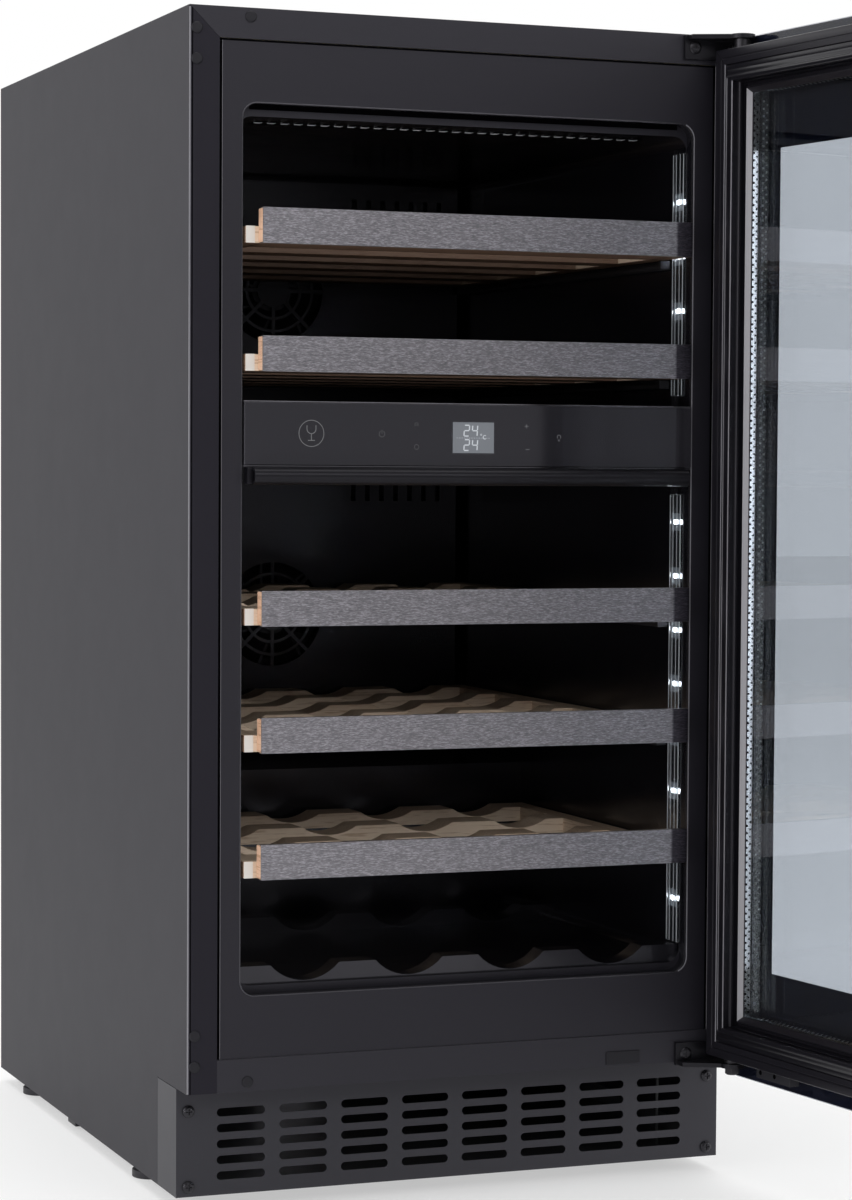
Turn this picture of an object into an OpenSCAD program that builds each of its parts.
// Two-zone wine cooler with a glass door, five slide-out shelves and levelling feet.
// +X is right, +Y is back and +Z is up; the cooler stands on z = 0 with its door facing -Y.
// The origin is the centre of the cabinet's footprint on the floor.

/* [Cabinet] */
// Outside width of the steel cabinet
cab_w = 395; // [392:1:400]
// Outside depth of the steel cabinet, without the door
cab_d = 525; // [520:1:545]
// Outside height of the steel cabinet, without the feet
cab_h = 780; // [778:1:790]
// Thickness of the sheet steel
sheet = 1; // [0.8:0.1:1.2]
// Height of the feet under the cabinet
foot_h = 10; // [9.5:0.5:14]
// Width of the folded strips round the front
strip_w = 20.3; // [18:0.1:21]

/* [Toe space] */
// Height of the kickplate
toe_h = 73; // [70:1:74]
// Depth of the notch in each side panel
toe_d = 70; // [60:1:80]
// Distance of the kickplate behind the front of the cabinet
kick_y = 25; // [20:1:30]
// Columns of air slots
slot_cols = 8; // [4:1:8]
// Rows of air slots
slot_rows = 5; // [3:1:5]
// Length of one air slot
slot_len = 33.6; // [25:0.1:36]
// Height of one air slot
slot_h = 5.6; // [4:0.1:6.5]

/* [Interior] */
// Gap between the outside of the cabinet and the liner opening, each side
wall = 36.25; // [35.5:0.25:37]
// Bottom of the liner opening
open_z0 = 136; // [134:1:138]
// Top of the liner opening
open_z1 = 719; // [716:1:722]
// Thickness of the plastic liner
liner_t = 2.5; // [2:0.1:3]
// Y of the liner's rear wall
liner_y = 470; // [465:1:474]

/* [Shelves] */
// Underside heights of the shelves, lowest first
shelf_z = [213.5, 296.5, 379.5, 545.5, 628.5];
// Height of the steel front trim
trim_h = 22.5; // [20:0.5:24]
// Thickness of the wooden frame
slat_h = 11; // [9:0.5:12]
// Travel of a shelf on its supports is this deep shelf's full depth
shelf_d = 426; // [400:1:428]

/* [Door] */
// Angle at which the door stands open when nothing moves it
door_open = 96.8; // [80:0.1:110]
// Hinge axis, X from the left side of the cabinet
hinge_x = 384; // [382:0.5:385]
// Hinge axis, Y in front of the cabinet
hinge_y = -22; // [-23:0.5:-21]
// Bottom of the inner door frame
door_z0 = 80; // [78:1:82]
// Top of the inner door frame
door_z1 = 768; // [766:1:770]
// Width of the frame's side members
stile_w = 36; // [34:1:40]
// Width of the frame's top and bottom members
rail_w = 32; // [30:1:36]

/* [Hidden] */
$fn = 48;

// liner cavity
in_x0 = wall;
in_x1 = cab_w - wall;
floor_z = 141;
ceil_z = 711.5;
step_y = 12;
hump_y = 305;
hump_z = 255;
// front of the compressor bay
bay_y = 335;
// closed-door planes, front to back
g_out0 = -36.5;
g_out1 = -31.5;
g_mid0 = -25;
g_mid1 = -22;
g_in0 = -16;
g_in1 = -12;
frame_y0 = g_out1;
frame_y1 = -7;
// outer door glass
pane_z0 = 63;
pane_z1 = 779;
// door frame sides
df_x0 = 1.7;
df_x1 = cab_w - 1.7;
// supports and shelves
sh_x0 = 38.5;
sh_x1 = cab_w - 38.5;
bottle_x = [86, 160, 234, 308];
// feet
foot_x = 18;
foot_y = [142, 461];
// fans
fan_y = 437;
fan_x = cab_w / 2;
fan_z = [366, 622];
cfan = [94, 386, 64];
pin_r = 4;
// hinge screws
hinge_sx = [357.5, 386];
hinge_sz = [79.3, 770.8];

// a box between two corners
module slab(a, b) { translate(a) cube([b[0] - a[0], b[1] - a[1], b[2] - a[2]]); }
// a rectangle between two corners
module rect(a, b) { translate(a) square([b[0] - a[0], b[1] - a[1]]); }
// a rectangle with round corners between two corners
module rrect(a, b, r) {
    rect([a[0] + r, a[1]], [b[0] - r, b[1]]);
    rect([a[0], a[1] + r], [b[0], b[1] - r]);
    for (x = [a[0] + r, b[0] - r], y = [a[1] + r, b[1] - r]) translate([x, y]) circle(r);
}
// a flat outline given in X and Z, made solid from y0 to y1
module along_y(y0, y1) { translate([0, y1, 0]) rotate([90, 0, 0]) linear_extrude(y1 - y0) children(); }
// everything is drawn from the cabinet's lower left front corner, then stood on its feet
module place() { translate([-cab_w / 2, -cab_d / 2, foot_h]) children(); }
// the door's pieces are drawn closed and turned to where the door stands
module open_door() {
    place() translate([hinge_x, hinge_y, 0]) rotate(door_open) translate([-hinge_x, -hinge_y, 0]) children();
}

// ---- cabinet sheet metal ----
module side_panel_solid() {
    difference() {
        linear_extrude(cab_h) {
            rect([0, 1.6], [sheet, cab_d]);
            rect([1.6, 0], [strip_w, sheet]);
            intersection() {
                rect([0, 0], [1.6, 1.6]);
                difference() {
                    translate([1.6, 1.6]) circle(1.6);
                    translate([1.6, 1.6]) circle(1.6 - sheet);
                }
            }
        }
        translate([-1, -1, -1]) cube([strip_w + 2, toe_d + 1, toe_h + 1]);
        // mitre at the top of the front strip
        translate([0, -1, cab_h]) rotate([0, 45, 0]) cube([60, 1 + sheet + 0.3, 60]);
    }
}
module left_side_panel() { color([0.13, 0.13, 0.14]) place() side_panel_solid(); }
module hinge_screw_holes() { for (x = hinge_sx, z = hinge_sz) translate([x, 3, z]) rotate([90, 0, 0]) cylinder(r = 2.5, h = 5); }
module right_side_panel() {
    color([0.13, 0.13, 0.14]) place() difference() {
        translate([cab_w, 0, 0]) mirror([1, 0, 0]) side_panel_solid();
        hinge_screw_holes();
    }
}
module top_panel() {
    color([0.13, 0.13, 0.14]) place() difference() {
        union() {
            slab([sheet, sheet, cab_h - sheet], [cab_w - sheet, cab_d, cab_h]);
            along_y(0, sheet) polygon([[0.2, cab_h], [strip_w, cab_h - strip_w + 0.2], [cab_w - strip_w, cab_h - strip_w + 0.2], [cab_w - 0.2, cab_h]]);
        }
        hinge_screw_holes();
    }
}
module bottom_rail() {
    color([0.13, 0.13, 0.14]) place() difference() {
        union() {
            slab([strip_w, 0, toe_h], [cab_w - strip_w, sheet, 94.7]);
            slab([strip_w, 0, toe_h], [cab_w - strip_w, 24, toe_h + sheet]);
        }
        slab([299.5, -1, 75.5], [322.5, 2, 82.5]);
        hinge_screw_holes();
    }
}
module base_tray() {
    color([0.35, 0.35, 0.36]) place() difference() {
        union() {
            slab([sheet, kick_y + 2, 0], [cab_w - sheet, cab_d - sheet, 1.5]);
            slab([sheet, kick_y + 2, 0], [sheet + 1.2, cab_d - sheet, 14]);
            slab([cab_w - sheet - 1.2, kick_y + 2, 0], [cab_w - sheet, cab_d - sheet, 14]);
        }
        for (x = [foot_x, cab_w - foot_x], y = foot_y) translate([x, y, -1]) cylinder(r = 4.3, h = 4);
    }
}
module back_panel() {
    color([0.62, 0.63, 0.64]) place() slab([sheet, cab_d - sheet, 240], [cab_w - sheet, cab_d, cab_h - sheet]);
}
// zinc-coated sheet that closes the underside of the foam and roofs the compressor bay
module bay_shield() {
    color([0.62, 0.63, 0.64]) place() {
        slab([sheet, sheet, 93.7], [cab_w - sheet, bay_y + 1, 94.7]);
        slab([sheet, bay_y, 94.7], [cab_w - sheet, bay_y + 1, 214]);
        slab([sheet, bay_y, 214], [cab_w - sheet, cab_d - sheet, 215]);
    }
}
// ---- insulation and liner ----
module cavity(g) {
    // g grows the cavity by the wall thickness
    difference() {
        union() {
            along_y(-1, step_y + g) rrect([in_x0 - g, open_z0 - g], [in_x1 + g, open_z1 + g], 10 + g);
            along_y(step_y, liner_y + g) rrect([in_x0 - g, floor_z - g], [in_x1 + g, ceil_z + g], 10 + g);
            slab([in_x1 - 4, 13 - g, 148 - g], [in_x1 + 2.6 + g, 32.5 + g, 704.5 + g]);
        }
        slab([0, hump_y + g, 100], [cab_w, cab_d, hump_z - g]);
    }
}
module insulation_foam() {
    color([0.87, 0.8, 0.6]) place() difference() {
        slab([sheet, sheet + liner_t, 94.7], [cab_w - sheet, cab_d - sheet, cab_h - sheet]);
        cavity(liner_t);
        slab([0, bay_y, 90], [cab_w, cab_d, 215]);
    }
}
module ridge(y0, y1) {
    difference() {
        slab([in_x0 - 0.5, y0, floor_z - 1], [in_x1 + 0.5, y1, floor_z + 12]);
        for (x = bottle_x) translate([x, y0 - 1, floor_z + 32.7]) rotate([-90, 0, 0]) cylinder(r = 31.7, h = y1 - y0 + 2, $fn = 64);
    }
}
module inner_liner() {
    color([0.05, 0.05, 0.055]) place() {
        difference() {
            union() {
                // front flange between the steel strips and the opening
                slab([strip_w, sheet, 94.7], [cab_w - strip_w, sheet + liner_t, cab_h - strip_w]);
                intersection() {
                    cavity(liner_t);
                    slab([0, sheet, 0], [cab_w, cab_d, cab_h]);
                }
            }
            cavity(0);
        }
        intersection() {
            union() { ridge(16, 34); ridge(236, 254); }
            cavity(0.5);
        }
    }
}
module kickplate() {
    color([0.11, 0.11, 0.12]) place() difference() {
        union() {
            slab([0, kick_y, 0], [cab_w, kick_y + sheet, toe_h - 0.4]);
            for (x = [0, cab_w - sheet]) slab([x, kick_y, 0], [x + sheet, toe_d - 0.4, toe_h - 0.4]);
        }
        for (c = [0:slot_cols - 1], r = [0:slot_rows - 1]) translate([28 + c * 43.6, kick_y - 1, 12.7 + r * 10.6]) {
            slab([slot_h / 2, 0, -slot_h / 2], [slot_len - slot_h / 2, 3, slot_h / 2]);
            for (x = [slot_h / 2, slot_len - slot_h / 2]) translate([x, 0, 0]) rotate([-90, 0, 0]) cylinder(d = slot_h, h = 3, $fn = 24);
        }
        for (x = [8.3, cab_w - 8.3], z = [6.8, 57.2]) translate([x, kick_y - 1, z]) rotate([-90, 0, 0]) cylinder(r = 2.1, h = 3);
    }
}
// pan-head screw that points along +Y from the face at y = 0
module pan_screw(head_r, head_h, shank_r, shank_l) {
    difference() {
        rotate([90, 0, 0]) union() {
            cylinder(r = head_r, h = head_h * 0.5);
            translate([0, 0, head_h * 0.5]) cylinder(r1 = head_r, r2 = head_r * 0.62, h = head_h * 0.5);
            translate([0, 0, -shank_l]) cylinder(r = shank_r, h = shank_l);
        }
        translate([-head_r * 0.5, -head_h - 1, -0.35]) cube([head_r, head_h * 0.6 + 1, 0.7]);
        translate([-0.35, -head_h - 1, -head_r * 0.5]) cube([0.7, head_h * 0.6 + 1, head_r]);
    }
}
module kickplate_screws() {
    color([0.08, 0.08, 0.08]) place() for (x = [8.3, cab_w - 8.3], z = [6.8, 57.2]) translate([x, kick_y, z]) pan_screw(4.1, 2.2, 2, 9);
}
module plug() { rotate([90, 0, 0]) { cylinder(r = 3.8, h = 0.6); translate([0, 0, 0.6]) cylinder(r1 = 3.8, r2 = 2.6, h = 0.7); } }
module hole_plugs() {
    color([0.09, 0.09, 0.1]) place() {
        for (z = [765.4, 745.6, 111.5, 91.2]) translate([5, 0, z]) plug();
        translate([41.3, 0, 774.2]) plug();
        translate([41.3, 0, 79.3]) plug();
        slab([300, -0.8, 76], [322, 1, 82]);
        slab([298.5, -0.8, 74.6], [323.5, 0, 83.4]);
    }
}
// ---- hinges ----
module bracket_tongue(z0, z1) {
    translate([0, 0, z0]) linear_extrude(z1 - z0) difference() {
        union() {
            polygon([[352, -2.5], [352, -10], [hinge_x - 8.4, hinge_y], [hinge_x, hinge_y - 4], [hinge_x + 5, hinge_y], [hinge_x + 5, -2.5]]);
            translate([hinge_x, hinge_y]) circle(8.5);
        }
        translate([hinge_x, hinge_y]) circle(pin_r);
    }
}
module flange(z0, z1) {
    difference() {
        slab([350, -3, z0], [cab_w - 1, 0, z1]);
        for (x = hinge_sx, z = hinge_sz) translate([x, 1, z]) rotate([90, 0, 0]) cylinder(r = 2.6, h = 6);
    }
}
module top_hinge_bracket() {
    color([0.07, 0.07, 0.075]) place() { flange(763, 779); bracket_tongue(776, 779); }
}
module bottom_hinge_bracket() {
    color([0.07, 0.07, 0.075]) place() { flange(71.5, 87); bracket_tongue(71.5, 74.5); }
}
module hinge_screws() {
    color([0.2, 0.2, 0.21]) place() for (x = hinge_sx, z = hinge_sz) translate([x, -3, z]) pan_screw(4.4, 1.1, 2.5, 4);
}
module hinge_pins() {
    color([0.55, 0.55, 0.56]) place() translate([hinge_x, hinge_y, 0]) {
        // upper pin hangs from its tongue, with a washer above the door
        translate([0, 0, door_z1 - 24]) cylinder(r = pin_r, h = 779.5 - door_z1 + 24);
        translate([0, 0, door_z1 + 0.4]) cylinder(r = 5.6, h = 776 - door_z1 - 0.4);
        // lower pin stands on its nut, with a washer below the door
        translate([0, 0, 66.5]) cylinder(r = pin_r, h = door_z0 + 24 - 66.5);
        translate([0, 0, 74.5]) cylinder(r = 5.6, h = door_z0 - 74.5 - 0.4);
        translate([0, 0, 67.3]) cylinder(r = 5.4, h = 4.2, $fn = 6);
    }
}
// ---- control panel and zone divider ----
lcd = [182, 212, 493, 514];
module control_housing() {
    color([0.04, 0.04, 0.045]) place() difference() {
        slab([37, 2, 484], [358, 46, 526]);
        slab([39.5, 4.5, 486.5], [355.5, 47, 523.5]);
        slab([lcd[0], 0, lcd[2]], [lcd[1], 6, lcd[3]]);
        // small air slots in the underside
        for (x = [62, 176, 284], i = [0:4]) slab([x + i * 4, 10, 480], [x + i * 4 + 2, 24, 490]);
    }
}
module zone_divider() {
    color([0.05, 0.05, 0.055]) place() slab([in_x0, 46, 488], [in_x1, 433, 522]);
}
module control_fascia() {
    color([0.03, 0.03, 0.035]) place() difference() {
        union() {
            slab([37.2, -2, 484.5], [357.8, 2, 525.5]);
            slab([37.2, -0.5, 483], [357.8, 2, 526.5]);
        }
        slab([lcd[0], -3, lcd[2]], [lcd[1], 3, lcd[3]]);
    }
}
module display_module() {
    color([0.75, 0.78, 0.82]) place() {
        slab([lcd[0] + 0.2, -2, lcd[2] + 0.2], [lcd[1] - 0.2, 5, lcd[3] - 0.2]);
        slab([lcd[0] - 4, 4.5, lcd[2] - 4], [lcd[1] + 4, 8, lcd[3] + 4]);
        slab([60, 8, 490], [335, 9.6, 520]);
    }
}
// hollow rubber profile that meets the glass of the closed door
module divider_seal() {
    color([0.05, 0.05, 0.05]) place() translate([38.3, 0, 0]) rotate([90, 0, 90]) linear_extrude(316.2) difference() {
        union() {
            translate([-5.3, 477.3]) circle(5.7);
            rect([-5, 471.9], [2, 482.8]);
        }
        translate([-5.3, 477.3]) circle(4);
        rect([-3, 473.6], [0.4, 481]);
    }
}
module led_lenses() {
    color([0.9, 0.92, 0.95]) place() for (z = [[154, 466], [534, 701]]) slab([in_x1 - 1.2, 14, z[0]], [in_x1 + 1.6, 31.5, z[1]]);
}
module shelf_supports() {
    color([0.06, 0.06, 0.065]) place() for (i = [0:4]) {
        z = shelf_z[i] - 6.3;
        y1 = i == 0 ? 300 : 428;
        difference() {
            slab([in_x0, 36, z], [in_x0 + 8, y1, z + 6]);
            translate([in_x0 + 2.5, 40, z + 3]) cube([20, y1 - 44, 10]);
        }
        difference() {
            slab([in_x1 - 8, 36, z], [in_x1, y1, z + 6]);
            translate([in_x1 - 22.5, 40, z + 3]) cube([20, y1 - 44, 10]);
        }
    }
}
// ---- air ducts, fans and evaporators ----
module duct_cover(z0, z1, fz) {
    difference() {
        slab([42, 434, z0], [353, 468, z1]);
        slab([44, 436, z0 + 2], [351, 469, z1 - 2]);
        difference() {
            translate([fan_x, 433, fz]) rotate([-90, 0, 0]) cylinder(r = 41, h = 4);
            for (r = [12, 22, 32]) translate([fan_x, 432, fz]) rotate([-90, 0, 0]) difference() {
                cylinder(r = r + 1.2, h = 6);
                translate([0, 0, -1]) cylinder(r = r - 1.2, h = 8);
            }
            for (a = [0, 45, 90, 135]) translate([fan_x, 432, fz]) rotate([0, a, 0]) translate([-45, 0, -1.5]) cube([90, 6, 3]);
            translate([fan_x, 432, fz]) rotate([-90, 0, 0]) cylinder(r = 12, h = 6);
        }
        for (x = [58:12:130], s = [-1, 1]) translate([fan_x + s * (fan_x - x) - 2, 433, z1 - 30]) cube([4, 4, 18]);
    }
}
module upper_duct_cover() { color([0.05, 0.05, 0.055]) place() duct_cover(530, 708, fan_z[1]); }
module lower_duct_cover() { color([0.05, 0.05, 0.055]) place() duct_cover(262, 486, fan_z[0]); }
module evaporators() {
    color([0.75, 0.76, 0.77]) place() for (z = [[274, 474], [542, 696]]) {
        slab([60, 463, z[0]], [335, 464.5, z[1]]);
        for (k = [0:4]) translate([66, 461.2, z[0] + 16 + k * (z[1] - z[0] - 32) / 4]) rotate([0, 90, 0]) cylinder(r = 2.2, h = 263, $fn = 20);
    }
}
// a square fan frame whose air goes along +Y, with its motor boss on the far side
module fan_frame(s, d) {
    difference() {
        translate([-s / 2, 0, -s / 2]) cube([s, d, s]);
        translate([0, -1, 0]) rotate([-90, 0, 0]) cylinder(r = s / 2 - 3, h = d - 3 + 1);
        difference() {
            translate([0, d - 5, 0]) rotate([-90, 0, 0]) cylinder(r = s / 2 - 3, h = 8);
            translate([0, d - 6, 0]) rotate([-90, 0, 0]) cylinder(r = 16, h = 12);
            for (a = [0, 90]) rotate([0, a + 45, 0]) translate([-s, d - 3, -2.5]) cube([2 * s, 8, 5]);
        }
        translate([0, d - 9, 0]) rotate([-90, 0, 0]) cylinder(r = 1.55, h = 7.5, $fn = 32);
        for (x = [-1, 1], z = [-1, 1]) translate([x * (s / 2 - 5), -1, z * (s / 2 - 5)]) rotate([-90, 0, 0]) cylinder(r = 2, h = d + 2, $fn = 24);
    }
}
// rotor that turns inside such a frame on its own shaft
module fan_rotor(s, d, n) {
    r = s / 2 - 4.5;
    rotate([-90, 0, 0]) translate([0, 0, 2]) cylinder(r = 16, h = d - 8.5);
    rotate([-90, 0, 0]) translate([0, 0, d - 7]) cylinder(r = 1.5, h = 4.5, $fn = 32);
    intersection() {
        for (i = [0:n - 1]) rotate([0, i * 360 / n, 0]) translate([0, d / 2 - 3, 0]) rotate([0, 0, 38]) translate([-s * 0.12, -0.8, 12]) cube([s * 0.24, 1.6, r - 10]);
        rotate([-90, 0, 0]) translate([0, 0, 1.5]) cylinder(r = r, h = d - 8);
    }
}
module fan_frames() { color([0.1, 0.1, 0.1]) place() for (z = fan_z) translate([fan_x, fan_y, z]) fan_frame(92, 22); }
module upper_fan_rotor() { color([0.16, 0.16, 0.17]) place() translate([fan_x, fan_y, fan_z[1]]) fan_rotor(92, 22, 7); }
module lower_fan_rotor() { color([0.16, 0.16, 0.17]) place() translate([fan_x, fan_y, fan_z[0]]) fan_rotor(92, 22, 7); }
module condenser_fan_frame() { color([0.1, 0.1, 0.1]) place() translate(cfan) fan_frame(112, 26); }
module condenser_fan_rotor() { color([0.16, 0.16, 0.17]) place() translate(cfan) fan_rotor(112, 26, 5); }
// ---- compressor bay ----
module compressor() {
    color([0.07, 0.07, 0.075]) place() translate([290, 430, 14]) {
        rotate_extrude($fn = 64) {
            rect([0, 0], [36, 130]);
            rect([0, 24], [60, 106]);
            intersection() { rect([0, 0], [70, 140]); union() { translate([36, 24]) circle(24); translate([36, 106]) circle(24); } }
        }
        // feet plate, rubber mounts and terminal box
        slab([-80, -45, -4], [80, 45, -1]);
        slab([-30, -30, -1], [30, 30, 6]);
        for (x = [-68, 68], y = [-33, 33]) translate([x, y, -12.5]) cylinder(r = 9, h = 8.5);
        slab([-92, -22, 40], [-52, 22, 84]);
    }
}
module condenser() {
    color([0.1, 0.1, 0.1]) place() {
        for (i = [0:20]) slab([30 + i * 6.4, 342, 8], [30.8 + i * 6.4, 380, 116]);
        for (z = [22, 44, 66, 88, 108], y = [352, 370]) translate([24, y, z]) rotate([0, 90, 0]) cylinder(r = 3, h = 140, $fn = 24);
    }
}
module elbow(r) { rotate_extrude(angle = 90, $fn = 48) translate([r, 0]) circle(3, $fn = 24); }
module refrigerant_pipes() {
    color([0.72, 0.42, 0.25]) place() {
        // discharge line from the compressor can to the condenser
        translate([290, 369.9, 100]) rotate([90, 0, 0]) cylinder(r = 3, h = 5.9, $fn = 24);
        translate([278, 364, 100]) rotate([0, 0, 270]) elbow(12);
        translate([164.5, 352, 100]) rotate([0, 90, 0]) cylinder(r = 3, h = 113.5, $fn = 24);
        // suction line that leaves upwards through the bay roof
        translate([310, 430, 144]) cylinder(r = 4, h = 69.9, $fn = 24);
        // filter drier on the liquid line
        translate([200, 350, 30]) cylinder(r = 9, h = 60);
        translate([200, 350, 90]) cylinder(r = 2.5, h = 6.5, $fn = 24);
        translate([200, 350, 103.5]) cylinder(r = 2.5, h = 110.4, $fn = 24);
    }
}
module rear_grille() {
    color([0.12, 0.12, 0.13]) place() difference() {
        slab([sheet, cab_d - sheet, 1.5], [cab_w - sheet, cab_d, 240]);
        for (c = [0:9], r = [0:6]) slab([30 + c * 24, cab_d - 3, 26 + r * 24], [46 + c * 24, cab_d + 2, 36 + r * 24]);
        slab([321, cab_d - 3, 31], [349, cab_d + 2, 52]);
    }
}
module power_inlet() {
    color([0.03, 0.03, 0.03]) place() {
        difference() {
            union() {
                slab([321.5, cab_d - 24, 31.5], [348.5, cab_d + 1, 51.5]);
                slab([312, cab_d, 27], [358, cab_d + 2.5, 56]);
            }
            slab([324, cab_d - 21, 34], [346, cab_d + 4, 49]);
        }
        for (p = [[328, 40.5], [335, 43.5], [342, 40.5]]) slab([p[0] - 1, cab_d - 22, p[1] - 2.5], [p[0] + 1, cab_d - 7, p[1] + 2.5]);
    }
}
module base_pads() {
    color([0.05, 0.05, 0.05]) place() for (x = [6, cab_w - 30]) {
        slab([x, 312, -8], [x + 24, 334, 0]);
    }
}
// ---- levelling feet ----
module foot(x, y) {
    color([0.06, 0.06, 0.06]) place() translate([x, y, -foot_h]) {
        cylinder(r = 15, h = 5);
        translate([0, 0, 5]) cylinder(r1 = 15, r2 = 9, h = 3);
        translate([0, 0, 7]) cylinder(r = 4, h = 33);
    }
}
module foot_front_left() { foot(foot_x, foot_y[0]); }
module foot_front_right() { foot(cab_w - foot_x, foot_y[0]); }
module foot_rear_left() { foot(foot_x, foot_y[1]); }
module foot_rear_right() { foot(cab_w - foot_x, foot_y[1]); }
// ---- door ----
module door_frame() {
    color([0.05, 0.05, 0.055]) open_door() difference() {
        along_y(frame_y0, frame_y1) rrect([df_x0 - 1.3, door_z0], [df_x1 + 1.3, door_z1], 4);
        // sight opening
        slab([df_x0 + stile_w, -60, door_z0 + rail_w], [df_x1 - stile_w, 0, door_z1 - rail_w]);
        // pocket that holds the glass unit
        slab([df_x0 + 22, -60, door_z0 + 20], [df_x1 - 22, g_in1, door_z1 - 20]);
        // groove that holds the root of the gasket
        difference() {
            slab([df_x0 + 18, -11, door_z0 + 18], [df_x1 - 18, 0, door_z1 - 18]);
            slab([df_x0 + 21, -12, door_z0 + 21], [df_x1 - 21, 1, door_z1 - 21]);
        }
        for (z = [door_z0 - 1, door_z1 - 30]) translate([hinge_x, hinge_y, z]) cylinder(r = 6, h = 31);
    }
}
module outer_glass() {
    color([0.08, 0.09, 0.11, 0.5]) open_door() along_y(g_out0, g_out1) rrect([0, pane_z0], [cab_w, pane_z1], 3);
}
module middle_glass() {
    color([0.6, 0.65, 0.7, 0.35]) open_door() slab([df_x0 + 24, g_mid0, door_z0 + 22], [df_x1 - 24, g_mid1, door_z1 - 22]);
}
module inner_glass() {
    color([0.6, 0.65, 0.7, 0.35]) open_door() slab([df_x0 + 24, g_in0, door_z0 + 22], [df_x1 - 24, g_in1, door_z1 - 22]);
}
module spacer(y0, y1) {
    difference() {
        slab([df_x0 + 26, y0, door_z0 + 24], [df_x1 - 26, y1, door_z1 - 24]);
        slab([df_x0 + stile_w + 1, y0 - 1, door_z0 + rail_w + 1], [df_x1 - stile_w - 1, y1 + 1, door_z1 - rail_w - 1]);
    }
}
module glass_spacers() { color([0.7, 0.71, 0.72]) open_door() { spacer(g_mid1, g_in0); spacer(g_out1, g_mid0); } }
module door_gasket() {
    color([0.04, 0.04, 0.04]) open_door() {
        // bellows and magnet pocket
        difference() {
            slab([df_x0 + 11.5, frame_y1, door_z0 + 11.5], [df_x1 - 11.5, -3.5, door_z1 - 11.5]);
            slab([df_x0 + 32, -8, door_z0 + 30], [df_x1 - 32, 1, door_z1 - 30]);
        }
        difference() {
            slab([df_x0 + 13.5, -3.5, door_z0 + 13.5], [df_x1 - 13.5, -0.8, door_z1 - 13.5]);
            slab([df_x0 + 27, -8, door_z0 + 26], [df_x1 - 27, 1, door_z1 - 26]);
        }
        // root pushed into the groove of the frame
        difference() {
            slab([df_x0 + 18.4, -10.5, door_z0 + 18.4], [df_x1 - 18.4, frame_y1, door_z1 - 18.4]);
            slab([df_x0 + 20.6, -12, door_z0 + 20.6], [df_x1 - 20.6, 1, door_z1 - 20.6]);
        }
    }
}
module door_handle() {
    color([0.08, 0.08, 0.085]) open_door() translate([30, 0, 0]) {
        translate([0, g_out0 - 30, 270]) cylinder(r = 6, h = 300);
        for (z = [300, 540]) translate([0, g_out0, z]) rotate([90, 0, 0]) cylinder(r = 4.5, h = 30);
    }
}
module door_stop_block() {
    color([0.06, 0.06, 0.06]) open_door() difference() {
        slab([300, -21, door_z0 - 7.5], [340.5, -13.5, door_z0]);
        for (x = [307, 333.5]) translate([x, -17.2, door_z0 - 8]) cylinder(r = 2.2, h = 3);
    }
}
module hinge_bushes() {
    color([0.85, 0.85, 0.82]) open_door() for (z = [door_z0, door_z1 - 28]) translate([hinge_x, hinge_y, z]) difference() {
        cylinder(r = 6, h = 28);
        translate([0, 0, -1]) cylinder(r = pin_r + 0.05, h = 30);
    }
}
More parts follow.
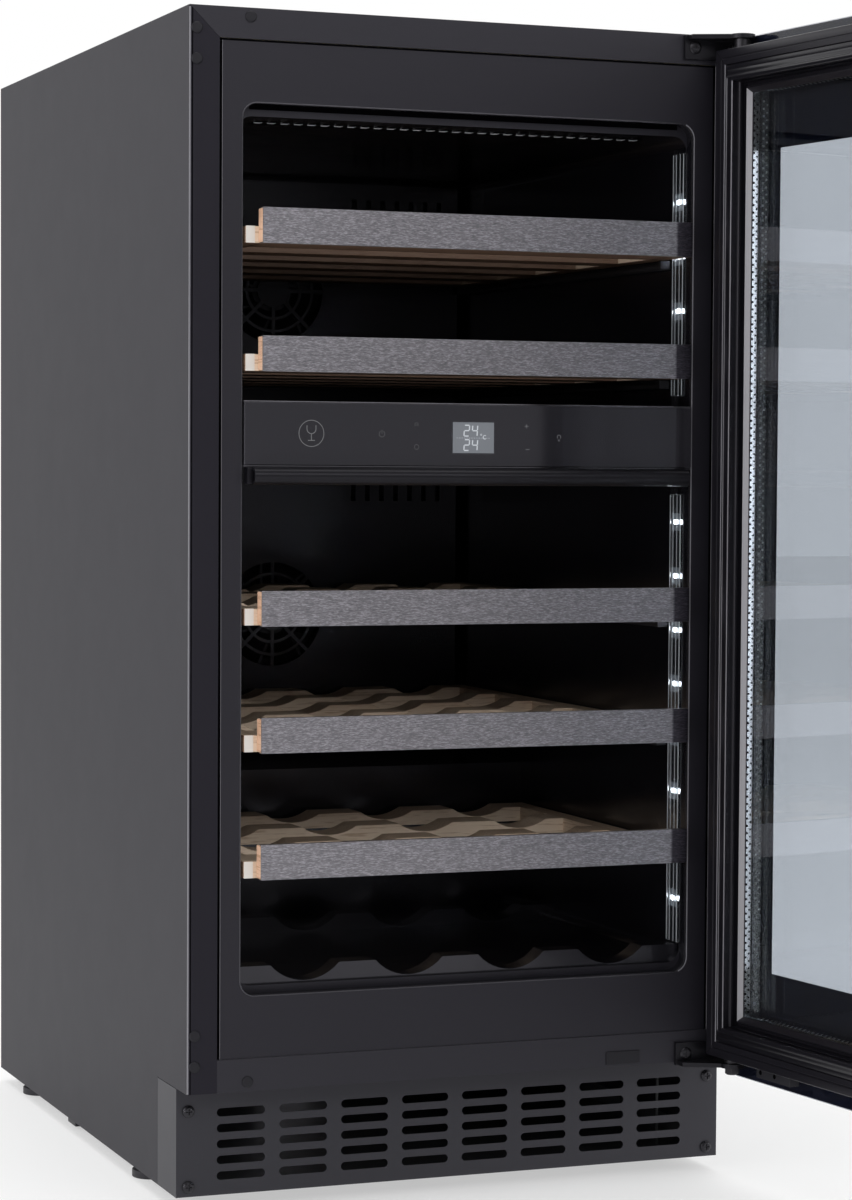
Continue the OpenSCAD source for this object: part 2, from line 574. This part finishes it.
// ---- shelves ----
module slat(y0, w, z) {
    difference() {
        slab([sh_x0 + 10, y0, z], [sh_x1 - 10, y0 + w, z + slat_h]);
        for (x = bottle_x) translate([x, y0 - 1, z + 38 + 5]) rotate([-90, 0, 0]) cylinder(r = 38, h = w + 2, $fn = 64);
    }
}
module shelf_frame(n) {
    z = shelf_z[5 - n];
    d = n == 5 ? 296 : shelf_d;
    step = (d - 44) / (n == 5 ? 3 : 5);
    color([0.82, 0.68, 0.5]) place() {
        // front board behind the steel trim
        slab([47, -8.5, z + 0.2], [353, 0.5, z + trim_h - 0.2]);
        // front bar and side rails
        slab([sh_x0, 0.5, z], [sh_x1, 14, z + slat_h]);
        slab([sh_x0, 14, z], [sh_x0 + 14, d, z + slat_h]);
        slab([sh_x1 - 14, 14, z], [sh_x1, d, z + slat_h]);
        slat(14, 26, z);
        for (k = [1:(n == 5 ? 3 : 5)]) slat(14 + k * step, 30, z);
    }
}
module shelf_trim(n) {
    z = shelf_z[5 - n];
    color([0.3, 0.3, 0.31]) place() difference() {
        slab([47, -9.5, z - 0.4], [354, -5, z + trim_h + 0.4]);
        // folded edges and a closed right end; the board's end shows on the left
        slab([46, -8.5, z + 0.2], [353, -4, z + trim_h - 0.2]);
    }
}
module shelf_1_frame() { shelf_frame(1); }
module shelf_1_trim() { shelf_trim(1); }
module shelf_2_frame() { shelf_frame(2); }
module shelf_2_trim() { shelf_trim(2); }
module shelf_3_frame() { shelf_frame(3); }
module shelf_3_trim() { shelf_trim(3); }
module shelf_4_frame() { shelf_frame(4); }
module shelf_4_trim() { shelf_trim(4); }
module shelf_5_frame() { shelf_frame(5); }
module shelf_5_trim() { shelf_trim(5); }

left_side_panel();
right_side_panel();
top_panel();
bottom_rail();
base_tray();
back_panel();
bay_shield();
insulation_foam();
inner_liner();
kickplate();
kickplate_screws();
hole_plugs();
top_hinge_bracket();
bottom_hinge_bracket();
hinge_screws();
hinge_pins();
control_housing();
zone_divider();
control_fascia();
display_module();
divider_seal();
led_lenses();
shelf_supports();
upper_duct_cover();
lower_duct_cover();
evaporators();
fan_frames();
compressor();
condenser();
condenser_fan_frame();
refrigerant_pipes();
power_inlet();
rear_grille();
base_pads();
foot_front_left();
foot_front_right();
foot_rear_left();
foot_rear_right();
upper_fan_rotor();
lower_fan_rotor();
condenser_fan_rotor();
door_frame();
outer_glass();
middle_glass();
inner_glass();
glass_spacers();
door_gasket();
door_handle();
door_stop_block();
hinge_bushes();
shelf_1_frame();
shelf_1_trim();
shelf_2_frame();
shelf_2_trim();
shelf_3_frame();
shelf_3_trim();
shelf_4_frame();
shelf_4_trim();
shelf_5_frame();
shelf_5_trim();
